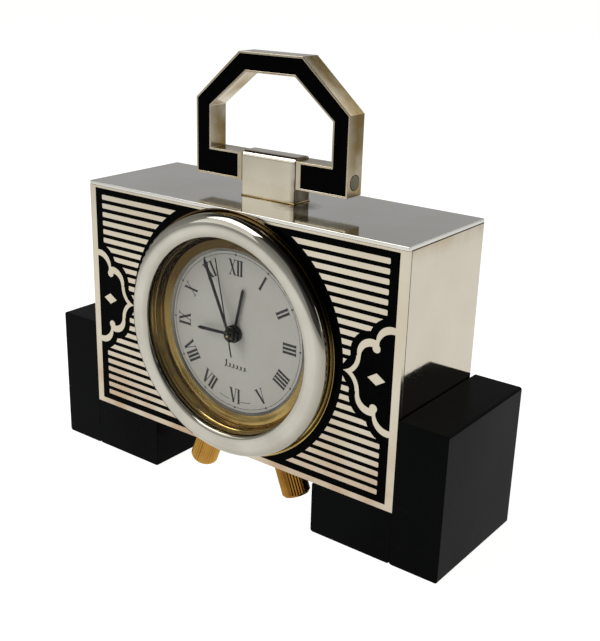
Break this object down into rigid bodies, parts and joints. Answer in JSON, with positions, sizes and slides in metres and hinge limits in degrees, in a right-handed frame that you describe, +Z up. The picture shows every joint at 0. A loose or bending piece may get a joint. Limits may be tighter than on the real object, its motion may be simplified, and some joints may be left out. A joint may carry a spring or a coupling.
{
  "type": "mantel clock",
  "caption": "Small mantel alarm clock: enamelled silver case on stepped onyx feet, round dial in a polished bezel, folding bail handle on top and two crowns underneath.",
  "frame": {"origin": "on the floor, at the middle of the footprint", "axes": "+Z up, the dial faces -Y, +X to the right of the dial as it is seen"},
  "size_m": [0.1264, 0.0406, 0.1143],
  "materials": {
    "silver": "polished silver plate",
    "enamel": "glossy black enamel",
    "onyx": "satin black onyx",
    "brass": "polished",
    "steel": "satin",
    "hands": "satin black",
    "plastic": "moulded",
    "crystal": "clear",
    "dial": "matt white",
    "copper": "enamelled wire",
    "board": "solder mask",
    "battery_case": "plain sleeve"
  },
  "bodies": {
    "case": {"front_plate": "silver", "enamel_left": "enamel", "enamel_right": "enamel", "top_plate": "silver", "side_plate_left": "silver", "side_plate_right": "silver", "bottom_plate": "silver", "back_cover": "silver", "corner_posts": "silver", "back_screws": "steel", "foot_block_left": "onyx", "foot_block_right": "onyx", "foot_upright_left": "onyx", "foot_upright_right": "onyx", "foot_screws": "steel", "hinge_block": "silver", "bezel_ring": "silver", "bezel_flange": "brass", "retaining_ring": "brass", "crystal": "crystal", "crystal_gasket": "plastic", "outer_rehaut": "brass", "inner_rehaut": "brass", "dial_rim": "steel", "dial": "dial", "drum": "brass", "rear_cap": "brass", "movement_front_plate": "plastic", "movement_rear_plate": "plastic", "movement_pillars": "plastic", "movement_screws": "steel", "wheel_studs": "steel", "stator_and_coil": "copper", "circuit_board": "board", "battery": "battery_case", "battery_cradle": "plastic", "sounder": "brass", "stem_bushes": "brass"},
    "handle": {"handle_frame": "silver", "handle_enamel_front": "enamel", "handle_enamel_back": "enamel", "hinge_pin": "silver"},
    "minute_arbor": {"minute_hand": "hands", "centre_wheel": "brass"},
    "hour_tube": {"hour_hand": "hands", "hour_wheel": "brass"},
    "seconds_arbor": {"seconds_hand": "hands", "seconds_wheel": "brass"},
    "alarm_tube": {"alarm_hand": "hands", "alarm_wheel": "brass"},
    "third_arbor": {"third_wheel": "brass"},
    "motion_work": {"minute_wheel": "brass"},
    "time_setting": {"time_setting_wheel": "brass"},
    "alarm_setting": {"alarm_setting_wheel": "brass"},
    "fifth_arbor": {"fifth_wheel": "brass"},
    "motor_rotor": {"rotor": "steel"},
    "time_slide": {"time_collar": "steel"},
    "time_knob": {"time_crown": "brass"},
    "alarm_slide": {"alarm_collar": "steel"},
    "alarm_knob": {"alarm_crown": "brass"}
  },
  "joints": [
    {"name": "handle_swing", "type": "hinge", "parent": "case", "child": "handle", "pos_m": [0, 0.00118, 0.086], "axis": [1, 0, 0], "range_deg": [-100, 100]},
    {"name": "minute_turn", "type": "hinge", "parent": "case", "child": "minute_arbor", "pos_m": [0, -0.01597, 0.04625], "axis": [0, 1, 0], "continuous": true},
    {"name": "hour_turn", "type": "hinge", "parent": "case", "child": "hour_tube", "pos_m": [0, -0.01597, 0.04625], "axis": [0, 1, 0], "continuous": true},
    {"name": "seconds_turn", "type": "hinge", "parent": "case", "child": "seconds_arbor", "pos_m": [0, -0.01597, 0.04625], "axis": [0, 1, 0], "continuous": true},
    {"name": "third_turn", "type": "hinge", "parent": "case", "child": "third_arbor", "pos_m": [-0.0115, -0.01597, 0.05044], "axis": [0, 1, 0], "continuous": true},
    {"name": "motion_turn", "type": "hinge", "parent": "case", "child": "motion_work", "pos_m": [0.01128, -0.01597, 0.04215], "axis": [0, 1, 0], "continuous": true},
    {"name": "time_setting_turn", "type": "hinge", "parent": "case", "child": "time_setting", "pos_m": [0.00665, -0.01597, 0.02893], "axis": [0, 1, 0], "continuous": true},
    {"name": "fifth_turn", "type": "hinge", "parent": "case", "child": "fifth_arbor", "pos_m": [0.00635, -0.01597, 0.05725], "axis": [0, 1, 0], "continuous": true},
    {"name": "rotor_turn", "type": "hinge", "parent": "case", "child": "motor_rotor", "pos_m": [0.01342, -0.01597, 0.06133], "axis": [0, 1, 0], "continuous": true},
    {"name": "time_pull", "type": "slide", "parent": "case", "child": "time_slide", "axis": [0.3584, 0, -0.9336], "range_m": [0, 0.0015]},
    {"name": "time_turn", "type": "hinge", "parent": "time_slide", "child": "time_knob", "pos_m": [0, -0.00797, 0.04625], "axis": [0.3584, 0, -0.9336], "continuous": true},
    {"name": "alarm_pull", "type": "slide", "parent": "case", "child": "alarm_slide", "axis": [-0.3584, 0, -0.9336], "range_m": [0, 0.0015]},
    {"name": "alarm_turn", "type": "hinge", "parent": "alarm_slide", "child": "alarm_knob", "pos_m": [0, -0.00797, 0.04625], "axis": [-0.3584, 0, -0.9336], "continuous": true},
    {"name": "alarm_setting_turn", "type": "hinge", "parent": "case", "child": "alarm_setting", "pos_m": [-0.00602, -0.01597, 0.03057], "axis": [0, 1, 0], "continuous": true},
    {"name": "alarm_hand_turn", "type": "hinge", "parent": "case", "child": "alarm_tube", "pos_m": [0, -0.01597, 0.04625], "axis": [0, 1, 0], "continuous": true}
  ],
  "couplings": [
    {"joint": "seconds_turn", "follows": "minute_turn", "ratio": 60},
    {"joint": "third_turn", "follows": "minute_turn", "ratio": -8},
    {"joint": "motion_turn", "follows": "minute_turn", "ratio": -0.33333},
    {"joint": "hour_turn", "follows": "minute_turn", "ratio": 0.083333},
    {"joint": "time_setting_turn", "follows": "minute_turn", "ratio": 0.6},
    {"joint": "rotor_turn", "follows": "fifth_turn", "ratio": -7.5},
    {"joint": "alarm_setting_turn", "follows": "alarm_turn", "ratio": 0.33333},
    {"joint": "alarm_hand_turn", "follows": "alarm_turn", "ratio": -0.13333}
  ]
}
